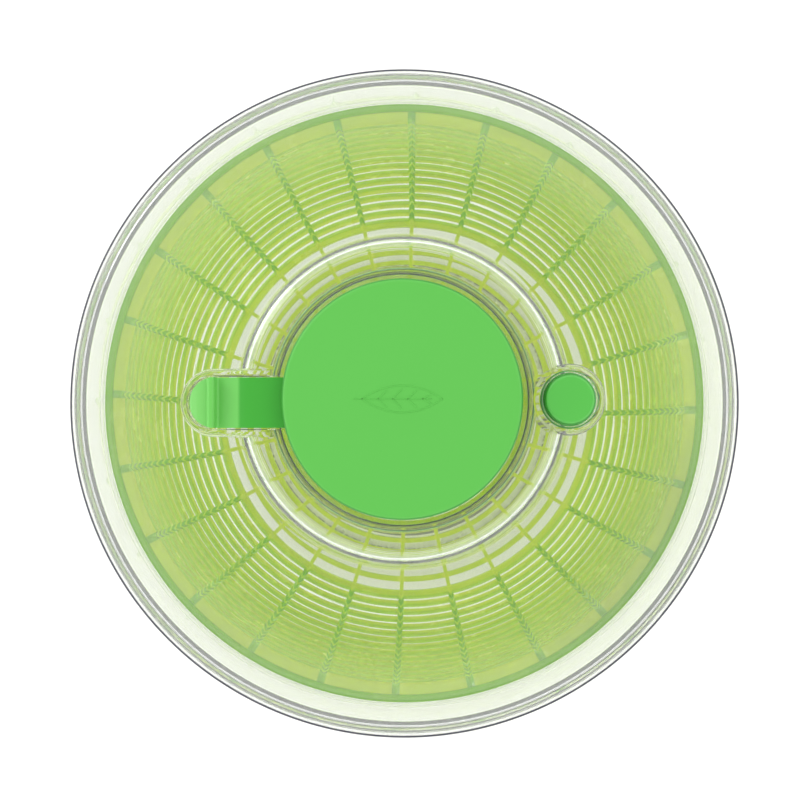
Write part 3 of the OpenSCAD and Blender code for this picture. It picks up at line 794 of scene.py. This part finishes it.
def buildPad():
    s = padShape
    return lathe("knob_pad_shell", roundedSection(
        [(0, s["underZ"]), (s["inR"], s["underZ"]), (s["inR"], s["skirtZ"]), (s["r"], s["skirtZ"]),
         (s["r"], s["topZ"]), (0, s["topZ"])], [0, 0, 0, 0.4, 1.8, 0], 8), 256)


pad = buildPad()
place(pad, softGreen, "knob", "green_soft", "knob_pad")
# Painted shade on the pad's edge faces.
dressFaces(pad, edgeShadeGreen, lambda face: face.center.xy.length > padShape["edgeFrom"] * mm)
leafShape = {"length": 30, "width": 10, "veins": 4, "line": 0.55, "height": 0.14, "top": padShape["topZ"]}


def ribbon(points, width, low, high):
    # A low raised line along a flat path: returns its vertices and faces.
    verts, faces = [], []
    for i, (x, y) in enumerate(points):
        before, after = points[max(i - 1, 0)], points[min(i + 1, len(points) - 1)]
        along = Vector((after[0] - before[0], after[1] - before[1])).normalized()
        for side, z in ((-0.5, low), (-0.3, high), (0.3, high), (0.5, low)):
            verts.append((x - along.y * side * width, y + along.x * side * width, z))
    last = 4 * (len(points) - 1)
    for i in range(0, last, 4):
        for k in range(4):
            m = (k + 1) % 4
            faces.append((i + k, i + m, i + 4 + m, i + 4 + k))
    faces += [(3, 2, 1, 0), (last, last + 1, last + 2, last + 3)]
    return verts, faces


def buildLeaf():
    s = leafShape
    half, steps = s["length"] / 2, 32

    def spread(x):
        return s["width"] / 2 * (1 - (x / half) ** 2)

    xs = [-half + 2 * half * i / steps for i in range(steps + 1)]
    paths = [[(x, spread(x)) for x in xs], [(x, -spread(x)) for x in xs], [(-half - 3, 0), (half - 4, 0)]]
    for i in range(s["veins"]):
        x = -half * 0.6 + half * 1.1 * i / (s["veins"] - 1)
        tip = min(x + 3.4, half * 0.86)
        paths += [[(x, 0), (tip, side * spread(tip) * 0.72)] for side in (1, -1)]
    verts, faces = [], []
    for path in paths:
        more, quads = ribbon(path, s["line"], s["top"] - 0.2, s["top"] + s["height"])
        faces += [[v + len(verts) for v in quad] for quad in quads]
        verts += more
    leaf = meshObject("knob_leaf", verts, faces, smooth=False)
    recalculate(leaf)
    return leaf


place(buildLeaf(), softGreen, "knob", "green_soft")
tab = refinedCopy("lock_tab", "lock_tab_shell", 0.6)
place(tab, tabGreen, "lock", "green_rigid", "lock_tab")
button = refinedCopy("brake_button", "brake_button_shell", 0.4)
place(button, rigidGreen, "brake", "green_rigid", "brake_button")
buttonLook = {"edgeBelow": 0.8, "faceR": 6}


def isButtonEdge(face):
    reach = (face.center.xy - Vector((lidShape["brakeX"] * mm, 0))).length
    return abs(face.normal.z) < buttonLook["edgeBelow"] and reach > buttonLook["faceR"] * mm


# Painted shade on the button's side faces.
dressFaces(button, edgeShadeGreen, isButtonEdge)
print("stage: controls")


# Floor, light and camera.

table = {"half": 30.0, "light": "#fbfbfb", "shade": "#f8f8f8", "glow": 0.14}


def buildStage():
    # A white table, lit a little from below.
    mesh = bpy.data.meshes.new("table")
    half = table["half"]
    corners = [(-half, -half, 0), (half, -half, 0), (half, half, 0), (-half, half, 0)]
    mesh.from_pydata(corners, [], [(0, 1, 2, 3)])
    floor = bpy.data.objects.new("table", mesh)
    bpy.context.scene.collection.objects.link(floor)
    material = newMaterial("white_light_table")
    where = addNode(material, "ShaderNodeTexCoord")
    tone = addNode(material, "ShaderNodeTexNoise", {"Scale": 3.0, "Detail": 2.0},
                   {"Vector": where.outputs["Object"]})
    colour = addNode(material, "ShaderNodeMix", {"data_type": "RGBA"}, {"Factor": tone.outputs["Fac"]})
    colour.inputs["A"].default_value = srgb(table["light"])
    colour.inputs["B"].default_value = srgb(table["shade"])
    skin = addNode(material, "ShaderNodeBsdfPrincipled", {"Roughness": 0.9, "Specular IOR Level": 0.1,
                    "Emission Color": srgb("#ffffff"), "Emission Strength": table["glow"]},
                   {"Base Color": colour.outputs["Result"]})
    addNode(material, "ShaderNodeOutputMaterial", {}, {"Surface": skin.outputs[0]})
    mesh.materials.append(material)


sky = {"ceiling": "#7d8082", "side": "#ffffff", "low": "#d9dcdf", "strength": 1.42}


def buildWorld():
    # White walls of light all round, a dim ceiling straight above, and a greyer strip along the horizon.
    world = bpy.data.worlds.new("studio")
    bpy.context.scene.world = world
    world.use_nodes = True
    tree = world.node_tree
    where = addNode(world, "ShaderNodeTexCoord")
    split = addNode(world, "ShaderNodeSeparateXYZ", {}, {"Vector": where.outputs["Generated"]})
    ramp = addNode(world, "ShaderNodeValToRGB", {}, {"Fac": split.outputs["Z"]})
    stops = ramp.color_ramp.elements
    stops[0].position, stops[0].color = 0.0, srgb(sky["low"])
    stops[1].position, stops[1].color = 1.0, srgb(sky["ceiling"])
    for position, colour in ((0.14, sky["side"]), (0.82, sky["side"]), (0.92, sky["ceiling"])):
        stops.new(position).color = srgb(colour)
    tree.links.new(ramp.outputs["Color"], tree.nodes["Background"].inputs["Color"])
    tree.nodes["Background"].inputs["Strength"].default_value = sky["strength"]


softbox = {"place": (-1.3, 0.9, 0.9), "aim": (0, 0, 0.1), "size": 0.7, "power": 4}


def buildSoftbox():
    data = bpy.data.lights.new("side_softbox", "AREA")
    data.shape = "DISK"
    data.size = softbox["size"]
    data.energy = softbox["power"]
    lamp = bpy.data.objects.new("side_softbox", data)
    lamp.location = softbox["place"]
    towards = Vector(softbox["aim"]) - Vector(softbox["place"])
    lamp.rotation_euler = towards.to_track_quat("-Z", "Y").to_euler()
    bpy.context.scene.collection.objects.link(lamp)


view = {"place": (7.3, -15.0, 800.0), "aim": (-1.42, 0.72, 150.0), "lens": 73.2}


def buildCamera():
    # Looks almost straight down, with the y axis up in the picture.
    data = bpy.data.cameras.new("camera")
    data.lens = view["lens"]
    data.sensor_width = 36
    data.clip_start = 0.01
    camera = bpy.data.objects.new("camera", data)
    place, aim = Vector(view["place"]) * mm, Vector(view["aim"]) * mm
    back = (place - aim).normalized()
    up = Vector((0, 1, 0))
    right = up.cross(back).normalized()
    up = back.cross(right)
    turn = Matrix((right, up, back)).transposed().to_4x4()
    camera.matrix_world = Matrix.Translation(place) @ turn
    bpy.context.scene.collection.objects.link(camera)
    bpy.context.scene.camera = camera


buildStage()
buildWorld()
buildSoftbox()
buildCamera()
scene = bpy.context.scene
scene.view_settings.view_transform = "Standard"
scene.cycles.max_bounces = 64
scene.cycles.transmission_bounces = 64
scene.cycles.transparent_max_bounces = 32
scene.cycles.use_denoising = True
print("stage: light and camera")
